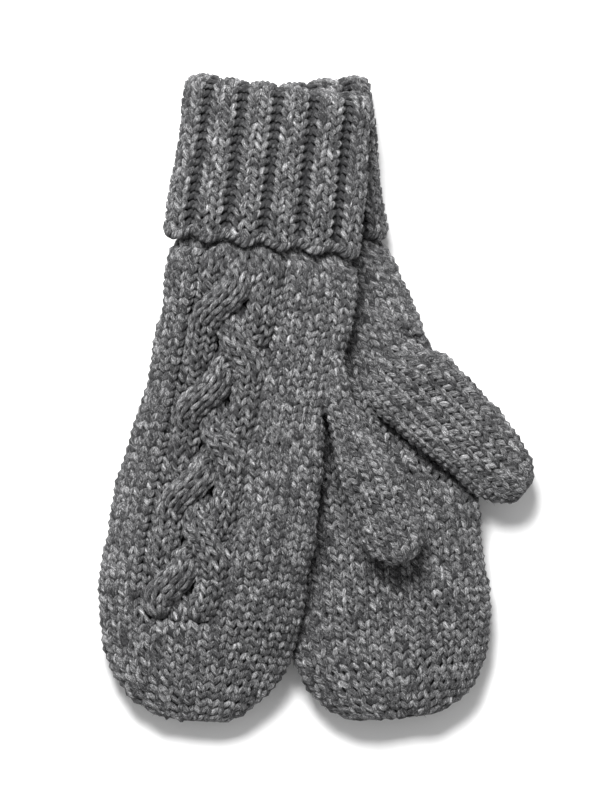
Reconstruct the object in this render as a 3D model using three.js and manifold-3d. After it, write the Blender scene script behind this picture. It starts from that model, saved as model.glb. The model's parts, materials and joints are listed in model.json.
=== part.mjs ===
// A pair of chunky knitted mittens lying flat, the right-hand one on top of the left-hand one.
// Millimetres, +Z up, cuffs toward +Y, fingertips toward -Y, resting on z = 0.
// The left mitten lies palm up, so its cable is underneath; the right one shows its back.
import * as THREE from 'three';
import { LoftGeometry } from 'three/addons/geometries/LoftGeometry.js';
import { mergeVertices } from 'three/addons/utils/BufferGeometryUtils.js';
import Module from 'manifold-3d';

const wasm = await Module();
wasm.setup();

// Fits
const gap = 0.4;                 // clearance between pieces that touch
const fabric = 4;                // thickness of one layer of knitting
const cuffClearance = 0.5;       // turned cuff over the wrist ribbing

// Cuff
const cuffHeight = 70;           // hem to fold
const hemWidth = 3;              // cast-on edge, below the turned cuff
const cuffHalfWidth = 44.5;      // at the hem
const cuffTaper = 2.5;           // narrower by this at the fold
const cuffHalfDepth = 13.5;
const cuffWall = 4.5;
const cuffPower = 2.5;           // squareness of the flattened tube
const ribCount = 12;
const ribRelief = 0.6;
const foldRise = 4;              // the fold stands this far above the wrist ribbing

// Hand
const handLength = 218;
const outlineLength = 218;       // the outlines below are drawn for a hand this long
const fixedLength = 120;         // a longer or shorter hand stretches beyond this
const handPower = 2.3;
const handHalfDepth = 12;
const tipLength = 11;            // gathered end of the hand

// Cable: a three strand plait on the back of the hand
const cableStart = 13;
const cableEnd = 172;
const plaitSwing = 12;           // sideways travel of a strand from the middle line
const plaitLift = 2.0;           // rise and fall of a strand
const plaitRepeat = 134;         // length over which a strand comes back to its place
const plaitPhase = 17.5;
const strandHalfWidth = 5.4;
const strandHalfDepth = 1.3;
const cableProud = 3;            // highest point above the plain knitting

// Thumb
const thumbPower = 2.2;
const thumbHalfDepth = 9;
const thumbWall = 3.4;
const rootRadius = 18;           // the thumb swings outside this circle round its root
const rootDepth = 7;             // how far the gusset reaches back into the hand
const thumbTipLength = 9;

// Each mitten: wrist position, turn about Z (degrees), heights and outline down the hand
const mittens = {
  left: {
    wrist: [-14, 71.5],
    turn: 4.6,
    cuffLevel: 12.7,
    cableSide: -1,
    sway: [[0, 0], [30, 10], [60, 18], [90, 24.1], [120, 28.3], [150, 30.6], [170, 31]],
    halfWidth: [[0, 38.5], [4, 38.5], [11, 41.5], [40, 42.6], [87, 44], [137, 46.5], [164, 46.3],
      [184, 45], [198, 40], [207, 34], [212, 28.5], [216, 20], [218, 12]],
    cableLine: [[0, 7.5], [60, 9], [172, 10]],
    thumb: {
      root: [34, 10.1], heading: -42, length: 80, halfWidth: 17, level: [24, 18.5], over: true,
      width: [[-0.15, 0.94], [0, 1.02], [0.2, 1.06], [0.5, 1], [0.78, 0.96], [0.87, 0.88], [0.94, 0.7],
        [0.98, 0.48], [1, 0.28]],
    },
    level: (x, b) => 12.7 + 2.3 * smooth((b - 1) / 11),
  },
  right: {
    wrist: [-26.1, 70.65],
    turn: -6.7,
    cuffLevel: 41.2,
    cableSide: 1,
    sway: [[0, 0.4], [11, 1.8], [27, 1.9], [54, -1.1], [72, -2.9], [90, -4.9], [108, -6.1], [126, -7.1],
      [150, -8.2], [170, -8.4]],
    halfWidth: [[0, 38.5], [4, 38.5], [11, 42.4], [27, 42.8], [54, 42], [72, 41.3], [90, 42.7], [108, 45.2],
      [126, 46.5], [137, 46.8], [164, 46.2],
      [182, 44], [196, 38.5], [206, 30.5], [212, 23.5], [216, 15.5], [218, 8.5]],
    cableLine: [[0, -7.5], [30, -10.4], [60, -9.3], [100, -8.6], [172, -10]],
    thumb: {
      root: [7.2, -1.4], heading: -67, length: 80, halfWidth: 14.2, level: [33 + thumbHalfDepth, 28 + thumbHalfDepth], over: false,
      width: [[-0.12, 0.46], [0, 0.48], [0.16, 0.57], [0.35, 0.75], [0.54, 0.91], [0.7, 1], [0.82, 0.99],
        [0.9, 0.86], [0.96, 0.62], [1, 0.3]],
    },
    level: (x, b) => {
      const free = 41.2 - 28.6 * smooth((b - 5) / 110);      // the side that sinks to the table
      const held = 41.2 + 0.6 * smooth((b - 8) / 40) - 29 * smooth((b - 114) / 106);
      return free + Math.max(0, held - free) * smooth((x + 30) / 70);
    },
  },
};
const handDepth = [[0, 8.5], [4, 8.5], [12, handHalfDepth], [150, handHalfDepth], [182, 11.3], [202, 9.6],
  [212, 7], [218, 3]];

// Helpers

function smooth(t) {
  const c = Math.min(1, Math.max(0, t));
  return c * c * (3 - 2 * c);
}

// Smooth curve without overshoot through the [position, value] stops
function along(stops, at) {
  const n = stops.length;
  if (at <= stops[0][0]) return stops[0][1];
  if (at >= stops[n - 1][0]) return stops[n - 1][1];
  let i = 0;
  while (at > stops[i + 1][0]) i += 1;
  const rate = (k) => (stops[k + 1][1] - stops[k][1]) / (stops[k + 1][0] - stops[k][0]);
  const slope = (k) => {
    if (k === 0) return rate(0);
    if (k === n - 1) return rate(n - 2);
    const a = rate(k - 1);
    const b = rate(k);
    return a * b <= 0 ? 0 : (2 * a * b) / (a + b);
  };
  const h = stops[i + 1][0] - stops[i][0];
  const t = (at - stops[i][0]) / h;
  const t2 = t * t;
  const t3 = t2 * t;
  return (2 * t3 - 3 * t2 + 1) * stops[i][1] + (t3 - 2 * t2 + t) * h * slope(i)
    + (3 * t2 - 2 * t3) * stops[i + 1][1] + (t3 - t2) * h * slope(i + 1);
}

// Flattened oval, evenly spaced by arc length, starting at the +x side
function outline(halfWidth, halfDepth, power, count) {
  const fine = 360;
  const bend = (c) => Math.sign(c) * Math.abs(c) ** (2 / power);
  const pts = [];
  const run = [0];
  for (let i = 0; i <= fine; i += 1) {
    const a = (i / fine) * Math.PI * 2;
    pts.push([halfWidth * bend(Math.cos(a)), halfDepth * bend(Math.sin(a))]);
    if (i > 0) run.push(run[i - 1] + Math.hypot(pts[i][0] - pts[i - 1][0], pts[i][1] - pts[i - 1][1]));
  }
  const ring = [];
  let k = 0;
  for (let i = 0; i < count; i += 1) {
    const at = (run[fine] * i) / count;
    while (run[k + 1] < at) k += 1;
    const f = (at - run[k]) / (run[k + 1] - run[k]);
    ring.push([pts[k][0] + (pts[k + 1][0] - pts[k][0]) * f, pts[k][1] + (pts[k + 1][1] - pts[k][1]) * f]);
  }
  return ring;
}

// Mitten frame (across, toward the fold, up) to the shared frame
function place(m, across, toFold, up) {
  const a = (m.turn * Math.PI) / 180;
  const x = m.wrist[0] + across * Math.cos(a) - toFold * Math.sin(a);
  const y = m.wrist[1] + across * Math.sin(a) + toFold * Math.cos(a);
  return new THREE.Vector3(x, y, up);
}

function swayAt(m, b) {
  return along(m.sway, drawn(b));
}

// Lofted solid; loop = the profile closes on itself like a sleeve
function loft(sections, loop) {
  let rows = loop ? [...sections, sections[0]] : sections;
  if (!loop) {
    const travel = sections.at(-1)[0].clone().sub(sections[0][0]);
    const facing = new THREE.Vector3();
    const first = sections[0];
    first.forEach((p, i) => facing.add(p.clone().cross(first[(i + 1) % first.length])));
    if (facing.dot(travel) < 0) rows = sections.map((ring) => [...ring].reverse());
  }
  const lofted = new LoftGeometry(rows, { closed: true, capStart: !loop, capEnd: !loop });
  const geo = new THREE.BufferGeometry();
  geo.setAttribute('position', lofted.getAttribute('position'));
  geo.setIndex(lofted.getIndex());
  const welded = mergeVertices(geo, 1e-4);
  if (volumeOf(welded) < 0) {
    const index = welded.getIndex().array;
    for (let i = 0; i < index.length; i += 3) [index[i], index[i + 1]] = [index[i + 1], index[i]];
  }
  return welded;
}

function volumeOf(geo) {
  const p = geo.getAttribute('position');
  const index = geo.getIndex().array;
  const [a, b, c] = [new THREE.Vector3(), new THREE.Vector3(), new THREE.Vector3()];
  let sum = 0;
  for (let i = 0; i < index.length; i += 3) {
    a.fromBufferAttribute(p, index[i]);
    b.fromBufferAttribute(p, index[i + 1]);
    c.fromBufferAttribute(p, index[i + 2]);
    sum += a.dot(b.cross(c)) / 6;
  }
  return sum;
}

function toManifold(geo) {
  const vertProperties = new Float32Array(geo.getAttribute('position').array);
  const triVerts = new Uint32Array(geo.getIndex().array);
  return new wasm.Manifold(new wasm.Mesh({ numProp: 3, vertProperties, triVerts }));
}

function toGeometry(manifold) {
  const mesh = manifold.getMesh();
  const geo = new THREE.BufferGeometry();
  geo.setAttribute('position', new THREE.BufferAttribute(new Float32Array(mesh.vertProperties), 3));
  geo.setIndex(new THREE.BufferAttribute(new Uint32Array(mesh.triVerts), 1));
  return geo;
}

// Surfaces of one mitten

// Thumb frame: s along the thumb from its root, q sideways
function thumbFrame(thumb, swing = 0) {
  const a = ((thumb.heading + swing) * Math.PI) / 180;
  return { dx: Math.cos(a), dy: Math.sin(a), x: thumb.root[0], y: thumb.root[1] };
}

function thumbShape(thumb, s) {
  const t = s / thumb.length;
  const depth = [[-0.15, 1], [0.8, 1], [0.9, 0.9], [0.96, 0.68], [1, 0.32]];
  return {
    width: thumb.halfWidth * along(thumb.width, t),
    depth: thumbHalfDepth * along(depth, t),
    level: thumb.level[0] + (thumb.level[1] - thumb.level[0]) * smooth(t),
  };
}

function thumbRing(thumb, s, inset, count) {
  const f = thumbFrame(thumb);
  const shape = thumbShape(thumb, s);
  const ring = outline(shape.width - inset, shape.depth - inset, thumbPower, count);
  return ring.map(([q, z]) => new THREE.Vector3(
    f.x + f.dx * s - f.dy * q,
    f.y + f.dy * s + f.dx * q,
    shape.level + z,
  ));
}

// The hand gives way where the thumb lies against it, and where it swings over it
function press(thumb, point, inset) {
  const swings = thumb.over ? [0, 10, 20, 30] : [0];
  return swings.reduce((p, swing) => pressOnce(thumb, swing, p, inset), point);
}

function pressOnce(thumb, swing, point, inset) {
  const f = thumbFrame(thumb, swing);
  const s = (point.x - f.x) * f.dx + (point.y - f.y) * f.dy;
  const q = -(point.x - f.x) * f.dy + (point.y - f.y) * f.dx;
  if (s < 4 || s > thumb.length + 4) return point;
  const shape = thumbShape(thumb, s);
  const reach = shape.width + 5;
  if (thumb.over) {
    if (Math.abs(q) > reach) return point;
    const under = shape.level - shape.depth * Math.sqrt(Math.max(0, 1 - (q / reach) ** 2)) - 1;
    const limit = under - inset * 0.75;
    if (point.z > limit && point.z > 10) point.z = Math.max(limit, 10 - inset * 0.5);
    return point;
  }
  const side = -(shape.width + 1 + inset * 0.8);
  if (q > side && q < 0) {
    point.x += -f.dy * (side - q);
    point.y += f.dx * (side - q);
  }
  return point;
}

// Where on the drawn outline a distance from the wrist falls
function drawn(b) {
  if (b < fixedLength) return b;
  return fixedLength + ((b - fixedLength) * (outlineLength - fixedLength)) / (handLength - fixedLength);
}

// Depth of the channel the plait lies in
function channel(m, x, b) {
  const off = Math.abs(x - along(m.cableLine, b));
  const half = plaitSwing + strandHalfWidth + 1.5;
  const ends = smooth((b - 3) / 8) * (1 - smooth((b - cableEnd - 3) / 12));
  const depth = 2 * (plaitLift + strandHalfDepth) - cableProud + 1.5 * gap;
  return depth * ends * (1 - smooth((off - half) / 5));
}

function handRing(m, b, inset, count) {
  const halfWidth = along(m.halfWidth, drawn(b)) - inset;
  const ring = outline(halfWidth, along(handDepth, drawn(b)) - inset, handPower, count);
  const shift = swayAt(m, b);
  return ring.map(([x, z]) => {
    const facing = Math.sign(z) === m.cableSide;
    const dip = facing ? channel(m, x, b) * m.cableSide : 0;
    return press(m.thumb, place(m, x + shift, -b, m.level(x, drawn(b)) + z - dip), inset);
  });
}

// Cuff outline with its ribs standing out square to the knitting; flat where it meets the table
function cuffRing(m, y, inset, relief, count) {
  const halfWidth = cuffHalfWidth - cuffTaper * (Math.max(0, y) / cuffHeight) - inset;
  const ring = outline(halfWidth, cuffHalfDepth - inset, cuffPower, count);
  return ring.map(([x, z], i) => {
    const [ax, az] = ring[(i + count - 1) % count];
    const [bx, bz] = ring[(i + 1) % count];
    const length = Math.hypot(bx - ax, bz - az);
    const wave = relief * Math.cos((i / count) * ribCount * Math.PI * 2);
    const out = [(bz - az) / length, -(bx - ax) / length];
    return place(m, x + out[0] * wave, y, Math.max(0, m.cuffLevel + z + out[1] * wave));
  });
}

function strandRing(m, b, turn, size, count) {
  const phase = ((plaitPhase + turn) * Math.PI) / 180 + (b / plaitRepeat) * Math.PI * 2;
  const mirror = m.cableSide;                        // the left plait is the mirror of the right one
  const middle = along(m.cableLine, b);
  const x = middle + mirror * plaitSwing * Math.sin(phase);
  const lift = plaitLift * Math.sin(2 * phase);
  const width = along(m.halfWidth, drawn(b));
  const depth = along(handDepth, drawn(b));
  const lean = Math.atan2(plaitSwing * Math.PI * 2 * Math.cos(phase), plaitRepeat) * mirror;
  const ring = [];
  for (let i = 0; i < count; i += 1) {
    const a = (i / count) * Math.PI * 2;
    const across = x + (strandHalfWidth * size * Math.cos(a)) / Math.cos(lean);
    const face = depth * (1 - Math.abs(across / width) ** handPower) ** (1 / handPower);
    const up = face + cableProud - plaitLift - strandHalfDepth + lift + strandHalfDepth * size * Math.sin(a);
    ring.push(place(m, across + swayAt(m, b), -b, m.level(across, drawn(b)) + m.cableSide * up));
  }
  return ring;
}

// Pieces

function sleeve(rings) {
  return loft(rings, true);
}

function steps(from, to, count) {
  return Array.from({ length: count + 1 }, (_, i) => from + ((to - from) * i) / count);
}

function wristRib(m) {
  const top = cuffHeight - foldRise;
  const inner = cuffWall + cuffClearance;
  const ring = (y, inset) => {
    const halfWidth = cuffHalfWidth - cuffTaper - inner - inset;
    return outline(halfWidth, cuffHalfDepth - inner - inset, cuffPower, 32)
      .map(([x, z]) => place(m, x, y, m.cuffLevel + z));
  };
  return sleeve([ring(gap / 2, 0), ring(top, 0), ring(top, fabric), ring(gap / 2, fabric)]);
}

function turnedCuff(m) {
  const top = cuffHeight;
  const ribTop = cuffHeight - foldRise;
  const inside = cuffWall + cuffClearance + fabric;
  const count = ribCount * 4;
  const ring = (y, inset, relief) => cuffRing(m, y, inset, relief, count);
  return sleeve([
    ring(gap, 0, ribRelief),
    ring(top * 0.5, 0, ribRelief),
    ring(top - 4, 0.2, ribRelief * 0.8),
    ring(top - 1.2, 1.4, ribRelief * 0.5),
    ring(top, 3.6, 0),
    ring(top, inside - 2.6, 0),
    ring(top - 1.2, inside - 0.4, 0),
    ring(ribTop + gap, inside, 0),
    ring(ribTop + gap, cuffWall, 0),
    ring(top * 0.5, cuffWall, 0),
    ring(gap, cuffWall, 0),
  ]);
}

function castOnEdge(m) {
  const ring = (y, inset) => cuffRing(m, y, inset, 0, 36);
  return sleeve([
    ring(0, 0.3),
    ring(-hemWidth * 0.5, -0.4),
    ring(-hemWidth, 0.9),
    ring(-hemWidth, cuffWall - 0.9),
    ring(-hemWidth * 0.5, cuffWall),
    ring(0, cuffWall),
  ]);
}

function gussetTube(thumb, spread, inset, from, to) {
  return toManifold(loft(steps(from, to, 4).map((s) => thumbRing(thumb, s, inset - spread, 24)), false));
}

function rootCylinder(thumb, radius) {
  const cylinder = new THREE.CylinderGeometry(radius, radius, 120, 48);
  cylinder.rotateX(Math.PI / 2);
  cylinder.translate(thumb.root[0], thumb.root[1], 30);
  cylinder.deleteAttribute('normal');
  cylinder.deleteAttribute('uv');
  return toManifold(mergeVertices(cylinder, 1e-4));
}

// One face of the hand, side = 1 the upper and -1 the lower; the two meet along the side lines
function handFace(m, side) {
  const end = handLength - tipLength;
  const rows = [gap / 2, 4, 7, 11, 24, 40, 56, 70, 84, 100, 118, 138, 156, 172, 186, 198, end];
  const count = 36;
  const half = (ring, from, lift) => {
    const arc = Array.from({ length: count / 2 + 1 }, (_, i) => ring[(from + i) % count].clone());
    arc[0].z += lift;
    arc.at(-1).z += lift;
    return arc;
  };
  const face = (from, lift, spread) => toManifold(loft(rows.map((b) => [
    ...half(handRing(m, b, -spread, count), from, lift),
    ...half(handRing(m, b, fabric + spread, count), from, lift).reverse(),
  ]), false));
  const shell = side > 0
    ? face(0, gap / 2, 0)
    : face(count / 2, -gap / 2, 0).subtract(face(0, -gap * 0.48, gap));
  const t = m.thumb;
  const hole = gussetTube(t, gap, 0, -rootDepth - gap, rootRadius + 4);
  const far = steps(rootRadius - 2, t.length - 1, 10).map((s) => thumbRing(t, s, -gap, 24));
  const beside = toManifold(loft(far, false));
  return toGeometry(shell.subtract(hole).subtract(beside));
}

function thumbGusset(m) {
  const t = m.thumb;
  const tube = gussetTube(t, 0, 0, -rootDepth, rootRadius + 6);
  const bore = gussetTube(t, 0, thumbWall, -rootDepth - 5, rootRadius + 8);
  return toGeometry(tube.subtract(bore).intersect(rootCylinder(t, rootRadius - gap / 2)));
}

function thumb(m) {
  const t = m.thumb;
  const rows = steps(1, t.length - thumbTipLength, 9);
  const outer = rows.map((s) => thumbRing(t, s, 0, 24));
  const inner = rows.map((s) => thumbRing(t, s, thumbWall, 24)).reverse();
  const tube = toManifold(sleeve([...outer, ...inner]));
  return toGeometry(tube.subtract(rootCylinder(t, rootRadius + gap / 2)));
}

function thumbTip(m) {
  const t = m.thumb;
  const rows = [...steps(t.length - thumbTipLength + gap, t.length - 1.2, 5), t.length];
  return loft(rows.map((s) => thumbRing(t, s, 0, 20)), false);
}

function tipGather(m) {
  const rows = [...steps(handLength - tipLength + gap, handLength - 1.5, 5), handLength];
  return loft(rows.map((b) => handRing(m, b, 0, 28)), false);
}

function strand(m, turn) {
  const rows = steps(cableStart, cableEnd, 30);
  const size = (b) => 0.55 + 0.45 * smooth((cableEnd - b) / 10);
  return loft(rows.map((b) => strandRing(m, b, turn, size(b), 10)), false);
}

// Assembly

const wool = 0x5b5b5d;
const ribbing = 0x545456;
const edging = 0x636366;

function add(group, name, geo, colour) {
  geo.computeVertexNormals();
  const material = new THREE.MeshStandardMaterial({ color: colour, roughness: 0.95, metalness: 0 });
  const mesh = new THREE.Mesh(geo, material);
  mesh.name = name;
  group.add(mesh);
}

const pair = new THREE.Group();
pair.name = 'knitted_mittens';
for (const [side, m] of Object.entries(mittens)) {
  add(pair, `${side}_hand_upper`, handFace(m, 1), wool);
  add(pair, `${side}_hand_lower`, handFace(m, -1), wool);
  add(pair, `${side}_tip_gather`, tipGather(m), wool);
  add(pair, `${side}_cable_strand_a`, strand(m, 0), edging);
  add(pair, `${side}_cable_strand_b`, strand(m, 120), edging);
  add(pair, `${side}_cable_strand_c`, strand(m, 240), edging);
  add(pair, `${side}_thumb_gusset`, thumbGusset(m), wool);
  add(pair, `${side}_thumb`, thumb(m), wool);
  add(pair, `${side}_thumb_tip`, thumbTip(m), wool);
  add(pair, `${side}_wrist_rib`, wristRib(m), ribbing);
  add(pair, `${side}_turned_cuff`, turnedCuff(m), ribbing);
  add(pair, `${side}_cast_on_edge`, castOnEdge(m), edging);
}

// The frame's origin is under the middle of the pair, on the table
const box = new THREE.Box3().setFromObject(pair);
const middle = box.getCenter(new THREE.Vector3());
for (const mesh of pair.children) mesh.geometry.translate(-middle.x, -middle.y, -box.min.z);

export default pair;
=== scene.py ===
import json
import math
import bpy
import numpy as np
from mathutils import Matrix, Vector


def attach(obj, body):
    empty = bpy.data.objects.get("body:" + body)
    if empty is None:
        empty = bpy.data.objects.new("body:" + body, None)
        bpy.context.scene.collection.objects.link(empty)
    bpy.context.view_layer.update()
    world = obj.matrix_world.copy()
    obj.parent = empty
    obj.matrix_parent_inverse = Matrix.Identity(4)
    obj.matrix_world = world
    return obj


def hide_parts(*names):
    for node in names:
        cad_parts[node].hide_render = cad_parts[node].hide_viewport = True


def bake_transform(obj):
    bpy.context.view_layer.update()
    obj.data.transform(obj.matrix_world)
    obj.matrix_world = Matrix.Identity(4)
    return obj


# A pair of knitted mittens. Every visible surface is yarn: each row of stitches is one tube of
# wool that loops through its neighbours, laid over the shape of the hand, thumb or cuff.
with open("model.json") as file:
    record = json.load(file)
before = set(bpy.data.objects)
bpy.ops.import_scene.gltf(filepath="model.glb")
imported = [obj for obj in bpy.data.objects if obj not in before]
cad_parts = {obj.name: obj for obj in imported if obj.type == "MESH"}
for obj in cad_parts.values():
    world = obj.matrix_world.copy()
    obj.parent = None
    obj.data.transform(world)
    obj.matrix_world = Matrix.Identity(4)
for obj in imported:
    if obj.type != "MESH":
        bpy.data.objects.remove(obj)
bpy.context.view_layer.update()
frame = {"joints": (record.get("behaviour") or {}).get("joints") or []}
rng = np.random.default_rng(11)

# The pair as it lies, each hand drawn from its wrist down. Lengths are in mm until a mesh is made
mittens = {
    "left": {
        "wrist": (-14, 71.5), "turn": 4.6, "cuffLevel": 12.7, "cableSide": -1, "swell": (2.3, 1, 11),
        "sway": [(0, 0), (30, 10), (60, 18), (90, 24.1), (120, 28.3), (150, 30.6), (170, 31)],
        "halfWidth": [(0, 38.5), (4, 38.5), (11, 41.5), (40, 42.6), (87, 44), (137, 46.5), (164, 46.3),
                      (184, 45), (198, 40), (207, 34), (212, 28.5), (216, 20), (218, 12)],
        "pinches": [(-4.5, 209, 1.6, 1.8), (0.5, 207, 1.6, 2.4), (6, 210, 1.6, 1.6)],
        "cableLine": [(0, 7.5), (60, 9), (172, 10)],
        "thumb": {"root": (34, 10.1), "heading": -42, "length": 80, "halfWidth": 17, "level": (24, 18.5),
                  "over": True, "width": [(-0.2, 0.92), (0, 1.02), (0.2, 1.06), (0.5, 1), (0.76, 0.95),
                                          (0.85, 0.84), (0.91, 0.68), (0.96, 0.44), (1, 0.08)]},
    },
    "right": {
        "wrist": (-26.1, 70.65), "turn": -6.7, "cuffLevel": 41.2, "cableSide": 1, "swell": (0.6, 8, 40),
        # how far it sinks where nothing is under it and where the other mitten holds it up
        "drape": {"free": (28.6, 5, 110), "held": (29, 114, 106), "start": -30, "across": 70},
        "sway": [(0, 0.4), (11, 1.8), (27, 1.9), (54, -1.1), (72, -2.9), (90, -4.9), (108, -6.1), (126, -7.1),
                 (150, -8.2), (170, -8.4)],
        "halfWidth": [(0, 38.5), (4, 38.5), (11, 42.4), (27, 42.8), (54, 42), (72, 41.3), (90, 42.7),
                      (108, 45.2), (126, 46.5), (137, 46.8), (164, 46.2), (182, 44), (196, 38.5),
                      (206, 30.5), (212, 23.5), (216, 15.5), (218, 8.5)],
        "pinches": [(-6.4, 203, 1.8, 2.2)],
        "cableLine": [(0, -7.5), (30, -10.4), (60, -9.3), (100, -8.6), (172, -10)],
        "thumb": {"root": (7.2, -1.4), "heading": -67, "length": 80, "halfWidth": 14.2, "level": (43, 40.5),
                  "over": False, "width": [(-0.36, 0.1), (-0.2, 0.28), (-0.1, 0.42), (0, 0.48), (0.16, 0.57),
                                           (0.35, 0.75), (0.54, 0.91), (0.7, 1), (0.8, 0.98), (0.88, 0.86),
                                           (0.94, 0.64), (0.975, 0.4), (1, 0.08)]},
    },
}

# The model's origin is under the middle of the pair; a thumb joint tells how far that is from the
# point the numbers above are measured from
jointAt = {j["name"]: j for j in frame["joints"]}
origin = np.array(mittens["left"]["thumb"]["root"]) - np.array(jointAt["left_thumb_bend"]["pos_m"][:2]) * 1000


def smooth(t):
    c = np.clip(t, 0, 1)
    return c * c * (3 - 2 * c)


def along(stops, at):
    x, y = np.array(stops, float).T
    rate = np.diff(y) / np.diff(x)
    slope = np.empty(len(x))
    slope[0], slope[-1] = rate[0], rate[-1]
    both = rate[:-1] * rate[1:]
    total = rate[:-1] + rate[1:]
    slope[1:-1] = np.where(both > 0, 2 * both / np.where(np.abs(total) < 1e-9, 1, total), 0)
    at = np.clip(np.asarray(at, float), x[0], x[-1])
    i = np.clip(np.searchsorted(x, at, side="right") - 1, 0, len(x) - 2)
    h = x[i + 1] - x[i]
    t = (at - x[i]) / h
    return ((2 * t ** 3 - 3 * t ** 2 + 1) * y[i] + (t ** 3 - 2 * t ** 2 + t) * h * slope[i]
            + (3 * t ** 2 - 2 * t ** 3) * y[i + 1] + (t ** 3 - t ** 2) * h * slope[i + 1])


def outline(halfWidth, halfDepth, power, count):
    a = np.linspace(0, 2 * np.pi, 721)
    c, s = np.cos(a), np.sin(a)
    x = halfWidth * np.sign(c) * np.abs(c) ** (2 / power)
    z = halfDepth * np.sign(s) * np.abs(s) ** (2 / power)
    run = np.concatenate([[0], np.cumsum(np.hypot(np.diff(x), np.diff(z)))])
    at = run[-1] * np.arange(count) / count
    return np.interp(at, run, x), np.interp(at, run, z)


def place(m, x, toFold, up):
    a = math.radians(m["turn"])
    return np.stack(np.broadcast_arrays(m["wrist"][0] + x * math.cos(a) - toFold * math.sin(a),
                                        m["wrist"][1] + x * math.sin(a) + toFold * math.cos(a), up), -1)


def swayAt(m, b):
    return along(m["sway"], b)


# A rise or drop as (size, where it starts, over what length)
def ramp(b, change):
    size, start, length = change
    return size * smooth((b - start) / length)


# Height of the hand's middle; the mitten on top sinks to the table beside the one under it
def levelAt(m, x, b):
    swollen = m["cuffLevel"] + ramp(b, m["swell"])
    if "drape" not in m:
        return swollen + 0 * x
    drape = m["drape"]
    free = m["cuffLevel"] - ramp(b, drape["free"])
    held = swollen - ramp(b, drape["held"])
    return free + np.maximum(0, held - free) * smooth((x - drape["start"]) / drape["across"])


thumb = {
    "power": 2.2, "halfDepth": 9, "rowHeight": 3.8, "columnWidth": 5.3, "rootRadius": 18, "backing": 2.5,
    "depth": [(-0.15, 1), (0.8, 1), (0.9, 0.9), (0.96, 0.68), (1, 0.32)],        # along the thumb
    "rootStart": -16, "rootLength": 24, "rootFlat": 0.3, "rootSink": 6.5, "rootLean": 0.05,
    "fuller": 0.22, "fullerStart": (-4, 18), "fullerStop": (30, 34),
    "swings": (0, 10, 20, 30), "pressMargin": 5, "pressGap": 1, "pressLowest": 10, "pressStart": -6,
    "pressFade": 20, "pressPast": 4, "firstRow": {True: -16, False: -27}, "tipGap": 4.5,
}


def thumbShape(t, s):
    f = s / t["length"]
    return (t["halfWidth"] * along(t["width"], f), thumb["halfDepth"] * along(thumb["depth"], f),
            t["level"][0] + (t["level"][1] - t["level"][0]) * smooth(f))


# Toward its root the thumb flattens and sinks into the hand; the upper one follows the hand's side
def thumbRing(t, s, count):
    a = math.radians(t["heading"])
    width, depth, level = thumbShape(t, s)
    base = 1 - float(smooth((s - thumb["rootStart"]) / thumb["rootLength"]))
    depth = depth * (1 - thumb["rootFlat"] * base)
    level = level - (thumb["rootSink"] * base if t["over"] else 0)
    q, z = outline(float(width), float(depth), thumb["power"], count)
    if t["over"]:                             # the upper side is fuller near the hand
        (start, rise), (stop, fall) = thumb["fullerStart"], thumb["fullerStop"]
        bulge = smooth((s - start) / rise) * (1 - smooth((s - stop) / fall))
        q = q * np.where(q > 0, 1 + thumb["fuller"] * bulge, 1)
    back = min(0, s)
    if t["over"] or s > 0:
        x, y = math.cos(a) * s, math.sin(a) * s
    else:
        x, y = thumb["rootLean"] * back, -back
    return np.stack([t["root"][0] + x - math.sin(a) * q, t["root"][1] + y + math.cos(a) * q, level + z], -1)


# The hand gives way where the thumb lies against it or swings over it
def press(t, p, deeper=0.0):
    for swing in (thumb["swings"] if t["over"] else (0,)):
        a = math.radians(t["heading"] + swing)
        dx, dy = p[..., 0] - t["root"][0], p[..., 1] - t["root"][1]
        s = dx * math.cos(a) + dy * math.sin(a)
        q = -dx * math.sin(a) + dy * math.cos(a)
        width, depth, level = thumbShape(t, s)
        past = t["length"] + thumb["pressPast"]
        if t["over"]:
            reach = width + thumb["pressMargin"]
            under = level - depth * np.sqrt(np.maximum(0, 1 - (q / reach) ** 2)) - thumb["pressGap"] - deeper
            floor = np.maximum(under, thumb["pressLowest"] - deeper)
            inside = (s > thumb["pressStart"]) & (s < past) & (np.abs(q) < reach) & (p[..., 2] > floor)
            drop = (p[..., 2] - floor) * smooth((s - thumb["pressStart"]) / thumb["pressFade"])
            p[..., 2] -= np.where(inside, drop, 0)
        else:
            side = -(width + thumb["pressGap"])
            inside = (s > thumb["pressPast"]) & (s < past) & (q > side) & (q < 0)
            move = np.where(inside, side - q, 0)
            p[..., 0] += -math.sin(a) * move
            p[..., 1] += math.cos(a) * move
    return p


palm = {
    "length": 218, "power": 2.3, "rowHeight": 3.8, "columnWidth": 5.3, "tip": 11, "tipRowHeight": 3.61,
    "depth": [(0, 8.5), (4, 8.5), (12, 12), (150, 12), (182, 11.3), (202, 9.6), (212, 7), (218, 3)],
    "longer": 3.0,                            # the gathered tip stands proud of its last row
    "backing": 3.6, "tipBacking": 2.4, "pinchLength": 6, "pinchEnd": 220, "pinchFade": 5,
    "pressedDepth": 4.5,                      # under the thumb the lower face stays below the upper one
    "channelDepth": 3.6, "channelHalf": 17.5, "channelEdge": 4, "channelStart": (3, 8),
    "channelStop": (-8, 18),                  # from the plait's end
    "bareHalf": 14.5, "barePast": 2,          # no stitches where the plait covers them
}


# How far the knitting sinks under the plait
def channel(m, x, b):
    (start, rise), (stop, fall) = palm["channelStart"], palm["channelStop"]
    off = np.abs(x - along(m["cableLine"], b))
    ends = smooth((b - start) / rise) * (1 - smooth((b - cable["end"] - stop) / fall))
    return palm["channelDepth"] * ends * (1 - smooth((off - palm["channelHalf"]) / palm["channelEdge"]))


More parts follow.
